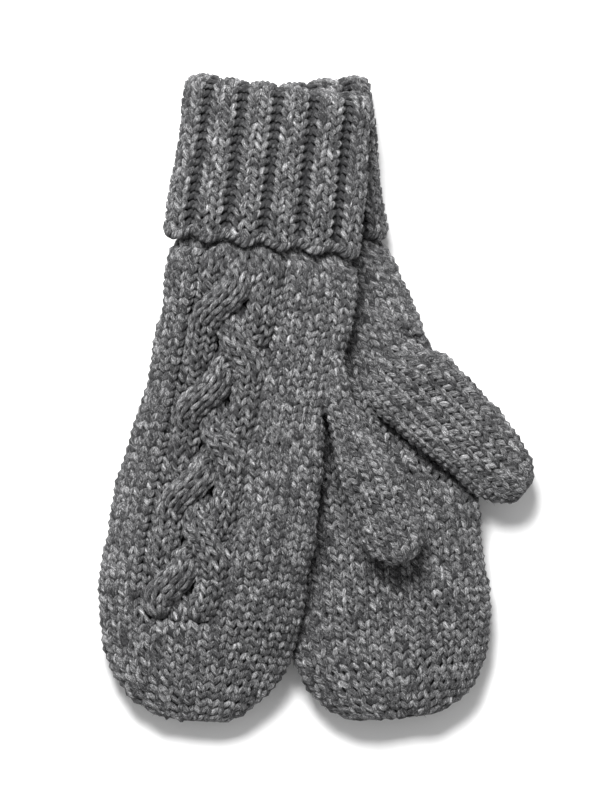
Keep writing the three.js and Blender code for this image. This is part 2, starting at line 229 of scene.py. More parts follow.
# Small creases where the last stitches are drawn together, as (place, start, width, depth)
def pinched(m, x, b):
    fade = smooth((palm["pinchEnd"] - b) / palm["pinchFade"])
    return sum(depth * np.exp(-((x - at) / width) ** 2) * smooth((b - start) / palm["pinchLength"]) * fade
               for at, start, width, depth in m["pinches"])


def handRing(m, b, count, sunk=True):
    x, z = outline(float(along(m["halfWidth"], b)), float(along(palm["depth"], b)), palm["power"], count)
    dip = 0
    if sunk:
        dip = np.where(np.sign(z) == m["cableSide"], channel(m, x, b) * m["cableSide"], 0)
        dip = dip + np.where(z > 0, pinched(m, x, b), 0)
    return press(m["thumb"], place(m, x + swayAt(m, b), -b, levelAt(m, x, b) + z - dip))


# A surface as rows of rings with its outward normals, read at any place between them
def surfaceOf(ringAt, rows):
    points = np.array([ringAt(r) for r in rows])
    across = np.roll(points, -1, 1) - np.roll(points, 1, 1)
    down = np.gradient(points, axis=0)
    normal = np.cross(across, down)
    normal /= np.maximum(1e-9, np.linalg.norm(normal, axis=2, keepdims=True))
    middle = points.mean(1, keepdims=True)
    if (normal * (points - middle)).sum() < 0:
        normal = -normal
    girth = np.linalg.norm(np.roll(points, -1, 1) - points, axis=2).sum(1)
    return {"rows": np.asarray(rows, float), "points": points, "normal": normal, "girth": girth}


def read(surface, row, turn):
    rows, points = surface["rows"], surface["points"]
    i = np.clip(np.searchsorted(rows, row) - 1, 0, len(rows) - 2)
    f = np.clip((row - rows[i]) / (rows[i + 1] - rows[i]), -1.5, 2.5)[:, None]
    n = points.shape[1]
    at = (turn % 1) * n
    j = np.floor(at).astype(int) % n
    g = (at - np.floor(at))[:, None]
    k = (j + 1) % n

    def mix(grid, f):
        here, after = (grid[row, j] * (1 - g) + grid[row, k] * g for row in (i, i + 1))
        return here * (1 - f) + after * f

    normal = mix(surface["normal"], np.clip(f, 0, 1))
    return mix(points, f), normal / np.maximum(1e-9, np.linalg.norm(normal, axis=1, keepdims=True))


# Slow unevenness of the whole knitting, so that no face is perfectly regular
waves = [(rng.normal(0, 1, 3) * (2 * np.pi / size), rng.uniform(0, 6.3), tall)
         for size, tall in ((55, 0.5), (38, 0.4), (27, 0.3), (19, 0.22), (14, 0.16))]


def softly(p):
    return sum(tall * np.sin(p @ k + phase) for k, phase, tall in waves)


yarn = {
    "radius": 1.42, "flat": 0.86, "depth": 1.3, "lean": 0.27, "reach": 0.76,
    "segments": 12, "sides": 7, "twist": 15, "jitter": 0.17, "sink": 1.9,
    "fullWidth": 5.2,                                        # narrower columns have thinner yarn
    "endLength": 1.6, "endWidth": 0.45, "turnEach": 0.137, "between": 3,
    "dipShadeShare": 0.75, "crownLightShare": 0.45,                  # painted highlight on each yarn's crown; painted shade on its underside and where the loops dip between stitches
    "fuzz": 0.5, "fuzzLength": 3.2, "fuzzRadius": 0.05,      # loose fibres for each stitch
    "backingStep": 0.6,
}


# Yarn is gathered in a store and made into one mesh per piece
def newStore():
    return {"points": [], "fibre": [], "paintedLight": [], "quads": [], "ends": [], "count": 0, "length": 0.0,
            "quadRun": [], "quadSide": [], "anchors": []}


def addYarn(store, path, normal, radius, paintedLight):
    k = yarn["sides"]
    n = len(path)
    tangent = np.gradient(path, axis=0)
    tangent /= np.maximum(1e-9, np.linalg.norm(tangent, axis=1, keepdims=True))
    side = np.cross(tangent, normal)
    side /= np.maximum(1e-9, np.linalg.norm(side, axis=1, keepdims=True))
    up = np.cross(side, tangent)
    run = np.concatenate([[0], np.cumsum(np.linalg.norm(np.diff(path, axis=0), axis=1))])
    angle = np.arange(k) / k * 2 * np.pi
    c, s = np.cos(angle), np.sin(angle)
    fromEnd = np.minimum(run, run[-1] - run) / yarn["endLength"]
    ends = np.minimum(1, yarn["endWidth"] + (1 - yarn["endWidth"]) * fromEnd)
    wide = (radius * ends)[:, None, None]
    section = c[None, :, None] * up[:, None] * yarn["flat"] + s[None, :, None] * side[:, None]
    ring = path[:, None] + wide * section
    twist = angle[None] + (run[:, None] / yarn["twist"] + store["count"] * yarn["turnEach"]) * 2 * np.pi
    shift = store["length"]
    fibre = np.stack([np.cos(twist), np.sin(twist), np.broadcast_to((run[:, None] + shift), twist.shape)], -1)
    # painted light and shade: each yarn paler on its crown and where the loop rises, darker underneath and where it
    # dips between stitches
    lightAndShade = paintedLight[:, None] * yarn["dipShadeShare"] + yarn["crownLightShare"] * c[None]
    base = store["count"]
    store["points"].append(ring.reshape(-1, 3))
    store["fibre"].append(fibre.reshape(-1, 3))
    store["paintedLight"].append(np.clip(0.5 + 0.5 * lightAndShade, 0, 1).reshape(-1))
    i = np.arange(n - 1)[:, None]
    j = np.arange(k)[None]
    a = base + i * k + j
    b = base + i * k + (j + 1) % k
    store["quads"].append(np.stack([a, b, b + k, a + k], -1).reshape(-1, 4))
    store["quadRun"].append(np.stack([np.broadcast_to(run[:-1, None] + shift, a.shape),
                                      np.broadcast_to(run[1:, None] + shift, a.shape)], -1).reshape(-1, 2))
    store["quadSide"].append(np.broadcast_to(j, a.shape).reshape(-1))
    store["ends"].append(np.stack([base + np.arange(k)[::-1], base + (n - 1) * k + np.arange(k)]))
    loose = np.flatnonzero((paintedLight > 0) & (rng.random(n) < yarn["fuzz"] / yarn["segments"]))
    if len(loose):
        root = path[loose] + up[loose] * radius[loose, None] * 0.8
        store["anchors"].append(np.concatenate([root, tangent[loose], up[loose], side[loose]], 1))
    store["count"] += n * k
    store["length"] += run[-1] + yarn["between"]


# Loose fibres that stand out of the wool: thin curved hairs, three-sided
def addFuzz(store):
    if not store["anchors"]:
        return
    anchor = np.concatenate(store["anchors"])
    n = len(anchor)
    start, tangent, up, side = anchor[:, :3], anchor[:, 3:6], anchor[:, 6:9], anchor[:, 9:12]
    size = yarn["fuzzLength"] * rng.uniform(0.5, 1.4, n)[:, None]
    way = tangent * rng.normal(0, 1, (n, 1)) + side * rng.normal(0, 0.8, (n, 1))
    way = way + up * rng.uniform(0.2, 0.9, (n, 1))
    way /= np.linalg.norm(way, axis=1, keepdims=True)
    curl = side * rng.normal(0, 1, (n, 1)) + tangent * rng.normal(0, 1, (n, 1))
    curl = curl - up * rng.uniform(0, 0.9, (n, 1))
    f = np.linspace(0, 1, 5)[None, :, None]
    path = start[:, None] + way[:, None] * size[:, None] * f + curl[:, None] * size[:, None] * 0.35 * f ** 2
    thin = yarn["fuzzRadius"] * np.array([1, 1, 0.9, 0.7, 0.4])[None, :, None, None]
    angle = np.arange(3) / 3 * 2 * np.pi
    c, s = np.cos(angle)[None, None, :, None], np.sin(angle)[None, None, :, None]
    other = np.cross(way, up)
    other /= np.maximum(1e-6, np.linalg.norm(other, axis=1, keepdims=True))
    third = np.cross(way, other)
    ring = path[:, :, None] + thin * (c * other[:, None, None] + s * third[:, None, None])
    base = store["count"]
    store["points"].append(ring.reshape(-1, 3))
    store["fibre"].append(np.repeat(rng.uniform(0, 900, (n, 3)), 15, axis=0))
    store["paintedLight"].append(np.ones(n * 15))
    h, i, j = np.meshgrid(np.arange(n), np.arange(4), np.arange(3), indexing="ij")
    a, b = base + h * 15 + i * 3 + j, base + h * 15 + i * 3 + (j + 1) % 3
    quads = np.stack([a, b, b + 3, a + 3], -1).reshape(-1, 4)
    steps = store["length"] + h.ravel() * 1.0 + i.ravel() * 0.2
    store["quads"].append(quads)
    store["quadRun"].append(np.stack([steps, steps + 0.2], -1))
    store["quadSide"].append(j.ravel())
    first = base + np.arange(n)[:, None] * 15
    store["ends"].append(np.concatenate([first + np.array([[2, 1, 0]]), first + np.array([[12, 13, 14]])]))
    store["count"] += n * 15
    store["length"] += n + 3


# Smoothly varying random numbers along a row, one knot per half stitch
def wander(q, size):
    knots = np.arange(math.floor(q[0] * 2) - 1, math.ceil(q[-1] * 2) + 2) / 2
    value = np.interp(q, knots, rng.normal(0, size, len(knots)))
    kernel = np.ones(5) / 5
    return np.convolve(np.pad(value, 2, mode="edge"), kernel, mode="valid")


# One row of plain knitting: q counts columns, the loop's head is at q = k + 0.5
def loops(q, rowHeight, purl=None, lean=1.0):
    x = q + lean * yarn["lean"] * np.sin(4 * np.pi * q)
    along = -yarn["reach"] * rowHeight * np.cos(2 * np.pi * q)
    deep = -np.cos(4 * np.pi * q)
    if purl is not None:
        deep = deep * purl
    return x, along, deep


# Rows over one face of a tube; centre is the face's middle line as a share of the way round
def knitFace(store, surface, rows, look, centre, keep=None, most=None, extra=0.0, flatten=None):
    for r in rows:
        girth = float(np.interp(r, surface["rows"], surface["girth"]))
        half = max(1, round(girth / 4 / look["columnWidth"]))
        if most:
            half = min(most, half)
        width = girth / 4 / half
        reach = round((half + extra) * yarn["segments"])          # the upper face reaches round the side
        q = np.arange(-reach, reach + 1) / yarn["segments"]
        x, down, deep = loops(q, look["rowHeight"])
        x = x + wander(q, yarn["jitter"] * 0.07)
        row = r + down + wander(q, yarn["jitter"] * 1.3)
        turn = centre + x * width / girth
        p, normal = read(surface, row, turn)
        height = deep * yarn["depth"] - yarn["sink"] + wander(q, yarn["jitter"]) + softly(p)
        path = p + normal * height[:, None]
        path = flatten(path) if flatten else path
        radius = yarn["radius"] * min(1.08, width / yarn["fullWidth"]) * (1 + wander(q, 0.07))
        spans = [slice(0, len(q))]
        if keep is not None:
            ok = keep(q * width, np.full_like(q, r))
            edges = np.flatnonzero(np.diff(np.concatenate([[0], ok.astype(int), [0]])))
            spans = [slice(a, b) for a, b in zip(edges[::2], edges[1::2]) if b - a > yarn["segments"] // 2]
        for span in spans:
            # the loop's depth also paints shade where it dips and light where it rises
            addYarn(store, path[span], normal[span], radius[span], deep[span])


# A thin closed backing just under the yarn, seen only as the dark between stitches: painted shade, as it takes the
# darkest wool colour
def addBacking(store, surface, start, end, depth, turns=None, thick=1.0, flatten=None):
    pick = (surface["rows"] >= start) & (surface["rows"] <= end)
    points, normal = surface["points"][pick][:, ::2], surface["normal"][pick][:, ::2]
    loop = turns is None
    if not loop:
        n = points.shape[1]
        first, last = int(round(turns[0] * n)), int(round(turns[1] * n))
        cols = np.arange(first, last + 1) % n
        points, normal = points[:, cols], normal[:, cols]
    outer = points - normal * depth
    inner = points - normal * (depth + thick)
    if flatten:
        outer, inner = flatten(outer), flatten(inner) - np.array([0, 0, 0.3])
    rows, cols = outer.shape[:2]
    base = store["count"]
    both = np.concatenate([outer.reshape(-1, 3), inner.reshape(-1, 3)])
    store["points"].append(both)
    store["fibre"].append(both * 0.35)
    # painted shade: the backing takes the darkest colour
    store["paintedLight"].append(np.zeros(len(both)))
    quads = []
    wrap = cols if loop else cols - 1
    i, j = np.meshgrid(np.arange(rows - 1), np.arange(wrap), indexing="ij")
    k = (j + 1) % cols
    a, b, c, d = i * cols + j, i * cols + k, (i + 1) * cols + k, (i + 1) * cols + j
    under = rows * cols
    quads.append(np.stack([a, b, c, d], -1).reshape(-1, 4))
    quads.append(np.stack([a, d, c, b], -1).reshape(-1, 4) + under)
    j = np.arange(wrap)
    k = (j + 1) % cols
    for row, flip in ((0, True), (rows - 1, False)):
        edge = np.stack([row * cols + j, row * cols + k, row * cols + k + under, row * cols + j + under], -1)
        quads.append(edge[:, ::-1] if not flip else edge)
    if not loop:
        i = np.arange(rows - 1)
        for col, flip in ((0, False), (cols - 1, True)):
            near, far = i * cols + col, (i + 1) * cols + col
            edge = np.stack([near, far, far + under, near + under], -1)
            quads.append(edge[:, ::-1] if flip else edge)
    quads = np.concatenate(quads)
    shift = store["length"]
    step = yarn["backingStep"]
    steps = np.arange(len(quads)) * step
    store["quads"].append(quads + base)
    store["quadRun"].append(np.stack([shift + steps, shift + steps + step], -1))
    store["quadSide"].append(np.zeros(len(quads), int))
    store["count"] += len(both)
    store["length"] += len(quads) * step + yarn["between"]


def makePiece(name, store, material):
    addFuzz(store)
    points = np.concatenate(store["points"])
    points[:, :2] -= origin
    points[:, 2] = np.maximum(points[:, 2], 0.05)
    points /= 1000
    quads = np.concatenate(store["quads"])
    ends = store["ends"]
    mesh = bpy.data.meshes.new(name)
    mesh.vertices.add(len(points))
    mesh.vertices.foreach_set("co", points.astype(np.float32).ravel())
    corners = np.concatenate([quads.ravel()] + [e.ravel() for e in ends])
    mesh.loops.add(len(corners))
    mesh.loops.foreach_set("vertex_index", corners.astype(np.int32))
    sizes = np.concatenate([np.full(len(quads), 4)] + [np.full(len(e), e.shape[1]) for e in ends])
    starts = np.concatenate([[0], np.cumsum(sizes)[:-1]])
    mesh.polygons.add(len(sizes))
    mesh.polygons.foreach_set("loop_start", starts.astype(np.int32))
    mesh.polygons.foreach_set("loop_total", sizes.astype(np.int32))
    mesh.polygons.foreach_set("use_smooth", np.ones(len(sizes), bool))
    fibre = mesh.attributes.new("fibre", "FLOAT_VECTOR", "POINT")
    fibre.data.foreach_set("vector", np.concatenate(store["fibre"]).astype(np.float32).ravel())
    # painted light and shade for each point, read by the wool material
    paintedLight = mesh.attributes.new("paintedLight", "FLOAT", "POINT")
    paintedLight.data.foreach_set("value", np.concatenate(store["paintedLight"]).astype(np.float32))
    # The yarn unrolled side by side, so that each stitch has its own room
    run, side = np.concatenate(store["quadRun"]), np.concatenate(store["quadSide"])
    tall = 2 * math.pi * yarn["radius"]
    shelves = max(1, math.ceil(math.sqrt(store["length"] / (tall + 1))))
    width = store["length"] / shelves
    shelf = np.floor(run.mean(1) / width)
    u = (run - (shelf * width)[:, None] + 2) / (width + 6)
    v = (shelf * (tall + 1))[:, None] + np.stack([side, side + 1], -1) / yarn["sides"] * tall + 0.5
    v /= shelves * (tall + 1)
    uv = np.stack([u[:, [0, 0, 1, 1]], v[:, [0, 1, 1, 0]]], -1).reshape(-1, 2)
    endUv = [np.tile(np.stack([np.cos(2 * np.pi * np.arange(e.shape[1]) / e.shape[1]),
                               np.sin(2 * np.pi * np.arange(e.shape[1]) / e.shape[1])], -1) * 0.0005 + 0.001,
                     (len(e), 1)) for e in ends]
    layer = mesh.uv_layers.new(name="OFBake")
    layer.data.foreach_set("uv", np.concatenate([uv] + endUv).astype(np.float32).ravel())
    mesh.update(calc_edges=True)
    mesh.validate()
    mesh.materials.append(material)
    piece = bpy.data.objects.new(name, mesh)
    bpy.context.scene.collection.objects.link(piece)
    print("  made", name, len(mesh.polygons), "faces")
    return piece


# Materials

def newGroup(name, inputs, outputs):
    group = bpy.data.node_groups.new(name, "ShaderNodeTree")
    for label, kind, value in inputs:
        socket = group.interface.new_socket(label, in_out="INPUT", socket_type=kind)
        if value is not None:
            socket.default_value = value
    for label, kind in outputs:
        group.interface.new_socket(label, in_out="OUTPUT", socket_type=kind)
    return group, group.nodes.new("NodeGroupInput"), group.nodes.new("NodeGroupOutput")


def mathNode(tree, kind, a, b=None, clamp=False):
    node = tree.nodes.new("ShaderNodeMath")
    node.operation = kind
    node.use_clamp = clamp
    for socket, value in zip(node.inputs, (a, b)):
        if value is None:
            continue
        if isinstance(value, (int, float)):
            socket.default_value = value
        else:
            tree.links.new(value, socket)
    return node.outputs[0]


def noiseNode(tree, vector, scale, detail, stretch):
    mapping = tree.nodes.new("ShaderNodeVectorMath")
    mapping.operation = "MULTIPLY"
    tree.links.new(vector, mapping.inputs[0])
    mapping.inputs[1].default_value = stretch
    node = tree.nodes.new("ShaderNodeTexNoise")
    node.inputs["Scale"].default_value = scale
    node.inputs["Detail"].default_value = detail
    node.inputs["Roughness"].default_value = 0.62
    tree.links.new(mapping.outputs[0], node.inputs["Vector"])
    return node.outputs["Fac"]


def rampNode(tree, value, low, high):
    node = tree.nodes.new("ShaderNodeMapRange")
    node.interpolation_type = "SMOOTHSTEP"
    tree.links.new(value, node.inputs["Value"])
    node.inputs["From Min"].default_value = low
    node.inputs["From Max"].default_value = high
    return node.outputs["Result"]


# Heathered wool: fine twisted fibres, plies, slow patches and pale flecks along the yarn, times painted shade
# between the stitches and a painted highlight on each yarn's crown
def heatherGroup():
    group, start, end = newGroup("woolHeather", [
        ("Fibre", "NodeSocketVector", None), ("PaintedLight", "NodeSocketFloat", 1.0),
        ("Contrast", "NodeSocketFloat", 1.0), ("Dark", "NodeSocketColor", (0.02, 0.02, 0.022, 1)),
        ("Pale", "NodeSocketColor", (0.4, 0.4, 0.41, 1)),
    ], [("Color", "NodeSocketColor"), ("Roughness", "NodeSocketFloat"), ("Height", "NodeSocketFloat")])
    fibre = start.outputs["Fibre"]
    streak = noiseNode(group, fibre, 1.0, 3.0, (3.4, 3.4, 0.42))
    hair = noiseNode(group, fibre, 1.0, 2.0, (8.5, 8.5, 0.85))
    patch = noiseNode(group, fibre, 1.0, 2.0, (0.5, 0.5, 0.13))
    fleck = noiseNode(group, fibre, 1.0, 1.0, (5.0, 5.0, 1.1))

    def times(a, b):
        return mathNode(group, "MULTIPLY", a, b)

    def plus(a, b, clamp=False):
        return mathNode(group, "ADD", a, b, clamp)

    tone = plus(plus(streak, times(hair, 0.9)), times(patch, 0.9))
    tone = times(plus(tone, -1.4), start.outputs["Contrast"])            # about zero in the middle
    tone = plus(times(tone, 1.5), 0.34)
    tone = plus(tone, times(rampNode(group, fleck, 0.63, 0.74), 0.38), clamp=True)
    shade = plus(times(start.outputs["PaintedLight"], 0.92), 0.08)              # painted shade and highlight: darker down between the stitches and under each yarn, paler on its crown
    tone = mathNode(group, "POWER", times(tone, shade), 2.4)
    mix = group.nodes.new("ShaderNodeMix")
    mix.data_type = "RGBA"
    group.links.new(tone, mix.inputs["Factor"])
    group.links.new(start.outputs["Dark"], mix.inputs["A"])
    group.links.new(start.outputs["Pale"], mix.inputs["B"])
    group.links.new(mix.outputs["Result"], end.inputs["Color"])
    group.links.new(plus(times(streak, -0.2), 1.0, clamp=True), end.inputs["Roughness"])
    group.links.new(plus(times(hair, 0.6), times(streak, 0.5)), end.inputs["Height"])
    return group


heather = heatherGroup()


def woolMaterial(name, look):
    material = bpy.data.materials.new(name)
    material.use_nodes = True
    tree = material.node_tree
    shader = tree.nodes["Principled BSDF"]
    fibre = tree.nodes.new("ShaderNodeAttribute")
    fibre.attribute_name = "fibre"
    # painted light and shade, stored on the yarn's points
    paintedLight = tree.nodes.new("ShaderNodeAttribute")
    paintedLight.attribute_name = "paintedLight"
    wool = tree.nodes.new("ShaderNodeGroup")
    wool.node_tree = heather
    tree.links.new(fibre.outputs["Vector"], wool.inputs["Fibre"])
    tree.links.new(paintedLight.outputs["Fac"], wool.inputs["PaintedLight"])
    wool.inputs["Contrast"].default_value = look["contrast"]
    wool.inputs["Dark"].default_value = (*look["dark"], 1)
    wool.inputs["Pale"].default_value = (*look["pale"], 1)
    tree.links.new(wool.outputs["Color"], shader.inputs["Base Color"])
    tree.links.new(wool.outputs["Roughness"], shader.inputs["Roughness"])
    bump = tree.nodes.new("ShaderNodeBump")
    bump.inputs["Strength"].default_value = look["bump"]
    bump.inputs["Distance"].default_value = 0.0006
    tree.links.new(wool.outputs["Height"], bump.inputs["Height"])
    tree.links.new(bump.outputs["Normal"], shader.inputs["Normal"])
    shader.inputs["Specular IOR Level"].default_value = 0.25
    shader.inputs["Sheen Weight"].default_value = 0.12
    shader.inputs["Sheen Roughness"].default_value = 0.6
    shader.inputs["Sheen Tint"].default_value = (0.7, 0.7, 0.72, 1)
    return material


paleWool = (0.74, 0.74, 0.75)
wools = {
    "stockinette_wool": {"contrast": 1.0, "dark": (0.011, 0.011, 0.012), "pale": paleWool, "bump": 0.8},
    "cable_wool": {"contrast": 1.05, "dark": (0.011, 0.011, 0.012), "pale": paleWool, "bump": 0.9},
    "ribbed_wool": {"contrast": 1.0, "dark": (0.011, 0.011, 0.012), "pale": paleWool, "bump": 0.8},
    "edge_wool": {"contrast": 1.0, "dark": (0.011, 0.011, 0.012), "pale": paleWool, "bump": 0.8},
}
materials = {slot: woolMaterial(slot, look) for slot, look in wools.items()}

# The hands

def makeHand(side, m):
    rows = np.arange(-6, palm["length"] + palm["longer"] + 0.2, 1.9)
    ringCount = 144

    def ringAt(b):
        back = palm["longer"] * float(smooth((b - 180) / 41)) if b > 0 else b
        return handRing(m, max(0.0, b - back), ringCount) + place(m, 0, -back, 0) - place(m, 0, 0, 0)

    surface = surfaceOf(ringAt, rows)

    def beside(x, b):
        away = np.abs(-x * 0.98 - along(m["cableLine"], b))
        past = (b < cable["start"]) | (b > cable["end"] + palm["barePast"])
        return (away > palm["bareHalf"]) | past

    knitRows = np.arange(1.5, palm["length"] - palm["tip"] - 1, palm["rowHeight"])
    tipLook = dict(palm, rowHeight=palm["tipRowHeight"])
    tipRows = np.arange(knitRows[-1] + palm["rowHeight"], palm["length"] + palm["longer"] - 2, tipLook["rowHeight"])
    faces = (("upper", 0.25, 0.5, (0, 0.5)), ("lower", 0.75, -0.5, (0.5, 1.0)))
    for face, centre, extra, turns in faces:
        store = newStore()
        keep = flatten = None
        if (face == "upper") == (m["cableSide"] > 0):
            flip = 1 if face == "upper" else -1
            keep = lambda x, b, flip=flip: beside(x * flip, b)
        if face == "lower" and m["thumb"]["over"]:
            flatten = lambda p: press(m["thumb"], p, palm["pressedDepth"])
        knitFace(store, surface, knitRows, palm, centre, keep, extra=extra, flatten=flatten)
        addBacking(store, surface, 0, palm["length"] - 6, palm["backing"], turns, flatten=flatten)
        piece = makePiece(f"{side}Hand{face.title()}", store, materials["stockinette_wool"])
        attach(piece, side + "_mitten")
        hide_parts(f"{side}_hand_{face}")
    store = newStore()
    for face in faces:
        knitFace(store, surface, tipRows, tipLook, face[1], extra=face[2])
    addBacking(store, surface, palm["length"] - 12, palm["length"] + 2, palm["tipBacking"])
    piece = makePiece(side + "TipGather", store, materials["stockinette_wool"])
    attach(piece, side + "_mitten")
    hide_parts(side + "_tip_gather")
    level = np.arange(0, palm["length"] + 0.5, 1.9)
    return surfaceOf(lambda b: handRing(m, b, ringCount, False), level)


cable = {
    "start": 6, "end": 172, "lane": 12.3, "swapLength": 22, "lift": 3.3, "halfWidth": 5.7, "height": 4.6,
    "rise": -3.0, "columns": 4, "radius": 0.86, "rowHeight": 4.2, "stretch": 1.7,
    "spread": 100, "core": 0.84, "pulledLean": 0.7, "pulledRadius": 0.05,
    "leftSwaps": [30, 73, 116, 160], "rightSwaps": [50, 93, 137],
}


# The plait: where each strand runs, and whether it is on top
def strandPath(which, b):
    lanes = [0, 1, 2]                                  # which strand is in each lane
    swaps = sorted([(at, 0) for at in cable["leftSwaps"]] + [(at, 1) for at in cable["rightSwaps"]])
    x = np.full_like(b, float(which - 1))
    lift, pull = np.zeros_like(b), np.zeros_like(b)
    for at, pair in swaps:
        t = (b - at) / cable["swapLength"] + 0.5
        bell = np.clip(1 - ((b - at) / (cable["swapLength"] * 0.8)) ** 2, 0, 1) ** 1.3
        here = [lanes[pair], lanes[pair + 1]]
        if which in here:
            over = which == here[1 - pair]             # the strand in the middle lane goes over
            way = 1 if which == here[0] else -1
            x = x + way * smooth(t)
            lift = lift + bell * (1 if over else -1)
            pull = pull + (bell if over and pair == 0 else 0)
        lanes[pair], lanes[pair + 1] = lanes[pair + 1], lanes[pair]
    return x * cable["lane"], lift * cable["lift"], pull


def makeCable(side, m, flat):
    mirror = m["cableSide"]
    for which, letter in enumerate("abc"):
        fine = np.linspace(cable["start"] - 2, cable["end"] + 3, 360)
        x, lift, pull = strandPath(which, fine)
        squeeze = 1 - 0.3 * smooth((fine - cable["end"] + 12) / 14)
        squeeze = squeeze - 0.25 * smooth((cable["start"] + 8 - fine) / 10)
        x = mirror * x * squeeze + along(m["cableLine"], fine)
        turn = (0.25 if mirror > 0 else 0.75) - mirror * x / np.interp(fine, flat["rows"], flat["girth"])
        p, normal = read(flat, fine, turn)
        path = p + normal * (cable["rise"] + lift)[:, None]
        tangent = np.gradient(path, axis=0)
        tangent /= np.linalg.norm(tangent, axis=1, keepdims=True)
        across = np.cross(tangent, normal)
        across /= np.linalg.norm(across, axis=1, keepdims=True)
        out = np.cross(across, tangent)
        run = np.concatenate([[0], np.cumsum(np.linalg.norm(np.diff(path, axis=0), axis=1))])
        store = newStore()
        spread = math.radians(cable["spread"])

        def mound(v, u):                               # u from -1 to 1 over the strand
            def at(grid):
                return np.stack([np.interp(v, run, grid[:, i]) for i in range(3)], -1)
            a = u * spread
            ends = 0.55 + 0.45 * smooth(v / 9) * smooth((run[-1] - v) / 9)
            w, h = cable["halfWidth"] * ends, cable["height"] * ends
            point = at(path) + at(across) * (w * np.sin(a))[:, None] + at(out) * (h * np.cos(a))[:, None]
            face = at(across) * (h * np.sin(a))[:, None] + at(out) * (w * np.cos(a))[:, None]
            return point, face / np.linalg.norm(face, axis=1, keepdims=True)

        half = cable["columns"] / 2
        r = 2.0
        while r < run[-1] - 1:
            # a stitch that crosses on top is pulled long
            pulled = max(0.0, float(np.interp(r, run, pull)))
            rowHeight = cable["rowHeight"] + cable["stretch"] * pulled
            q = np.arange(0, cable["columns"] * yarn["segments"] + 1) / yarn["segments"]
            gx, down, deep = loops(q, rowHeight, lean=1 - (1 - cable["pulledLean"]) * pulled)
            v = r + down + wander(q, yarn["jitter"])
            r += rowHeight
            u = np.clip((gx - half) / half, -1.15, 1.15)
            p, normal = mound(v, u)
            height = deep + wander(q, yarn["jitter"] * 0.6)
            radius = yarn["radius"] * (cable["radius"] + cable["pulledRadius"] * pulled + wander(q, 0.05))
            # the loop's depth also paints shade where it dips and light where it rises
            addYarn(store, p + normal * height[:, None], normal, radius, deep)
        around = np.linspace(-1, 1, 13)[:-1] * math.pi
        v, a = np.meshgrid(np.linspace(1, run[-1] - 1, 110), around, indexing="ij")
        core = mound(v.ravel(), a.ravel() / spread)[0]
        middle = np.stack([np.interp(v.ravel(), run, path[:, i]) for i in range(3)], -1)
        core = (middle + (core - middle) * cable["core"]).reshape(110, 12, 3)
        addTube(store, core)
        piece = makePiece(f"{side}CableStrand{letter.upper()}", store, materials["cable_wool"])
        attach(piece, side + "_mitten")
        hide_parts(f"{side}_cable_strand_{letter}")


# A plain closed tube of rings, for what lies under a strand
def addTube(store, rings):
    n, k = rings.shape[:2]
    base = store["count"]
    store["points"].append(rings.reshape(-1, 3))
    store["fibre"].append(rings.reshape(-1, 3) * 0.35)
    # painted shade: what lies under a strand takes the darkest colour
    store["paintedLight"].append(np.zeros(n * k))
    i, j = np.meshgrid(np.arange(n - 1), np.arange(k), indexing="ij")
    a, b = base + i * k + j, base + i * k + (j + 1) % k
    quads = np.stack([a, b, b + k, a + k], -1).reshape(-1, 4)
    for row, order in ((0, -1), (n - 1, 1)):
        for s in range(0, k // 2 - 1):
            ring = base + row * k
            quad = [ring + s, ring + s + 1, ring + k - 2 - s, ring + k - 1 - s]
            quads = np.concatenate([quads, [quad[::order]]])
    step = yarn["backingStep"]
    steps = np.arange(len(quads)) * step + store["length"]
    store["quads"].append(quads)
    store["quadRun"].append(np.stack([steps, steps + step], -1))
    store["quadSide"].append(np.zeros(len(quads), int))
    store["count"] += n * k
    store["length"] += len(quads) * step + yarn["between"]


# The thumbs, knitted in one with the gusset they grow from
def makeThumb(side, m):
    t = m["thumb"]
    first = thumb["firstRow"][t["over"]]
    rows = np.arange(first - 3, t["length"] + 1.2, 1.5)
    surface = surfaceOf(lambda s: thumbRing(t, s, 96), rows)
    store = newStore()
    knitRows = [first]                        # the rows keep their spacing round the end
    while knitRows[-1] < t["length"] - thumb["tipGap"]:
        at = knitRows[-1]
        slope = float(thumbShape(t, at + 2)[0] - thumbShape(t, at)[0]) / 2
        knitRows.append(at + thumb["rowHeight"] / math.hypot(1, slope))
    for centre, extra in ((0.25, 0.5), (0.75, -0.5)):
        knitFace(store, surface, knitRows, thumb, centre, most=4, extra=extra)
    addBacking(store, surface, first + 2, t["length"], thumb["backing"])
    piece = makePiece(side + "Thumb", store, materials["stockinette_wool"])
    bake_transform(piece)
    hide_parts(side + "_thumb_gusset", side + "_thumb", side + "_thumb_tip")


cuff = {
    "height": 70, "halfWidth": 44.5, "taper": 2.5, "halfDepth": 13.5, "wall": 4.5,
    "clearance": 0.5, "power": 2.5, "ribs": 12, "foldRise": 4,
    "rowHeight": 3.9, "purlWidth": 0.46,        # a purl column as a share of a knit one
    "knitLift": 0.9, "purlSink": 3.3, "ribOffset": 0.15, "scallop": 1.5,
    "bend": 4.6, "turnedIn": 22, "backing": 3.9,
    "hemStitch": 5.4, "hemInset": 1.3, "hemDrop": 0.6, "hemRoll": 1.3,
    "wristRelief": 0.35,
    "wristInset": 0.9,                          # so that the yarn, which stands proud, clears the turned cuff
}


def cuffRing(m, y, inset, count):
    halfWidth = cuff["halfWidth"] - cuff["taper"] * np.clip(y / cuff["height"], 0, 1) - inset
    x, z = outline(halfWidth, cuff["halfDepth"] - inset, cuff["power"], count)
    return place(m, x, y, np.maximum(0, m["cuffLevel"] + z))


# The ribbing: two knit columns and two narrow purl ones to a rib
ribStops = np.concatenate([[0], np.cumsum([1, 1, cuff["purlWidth"], cuff["purlWidth"]])])
ribStops = ribStops / ribStops[-1]


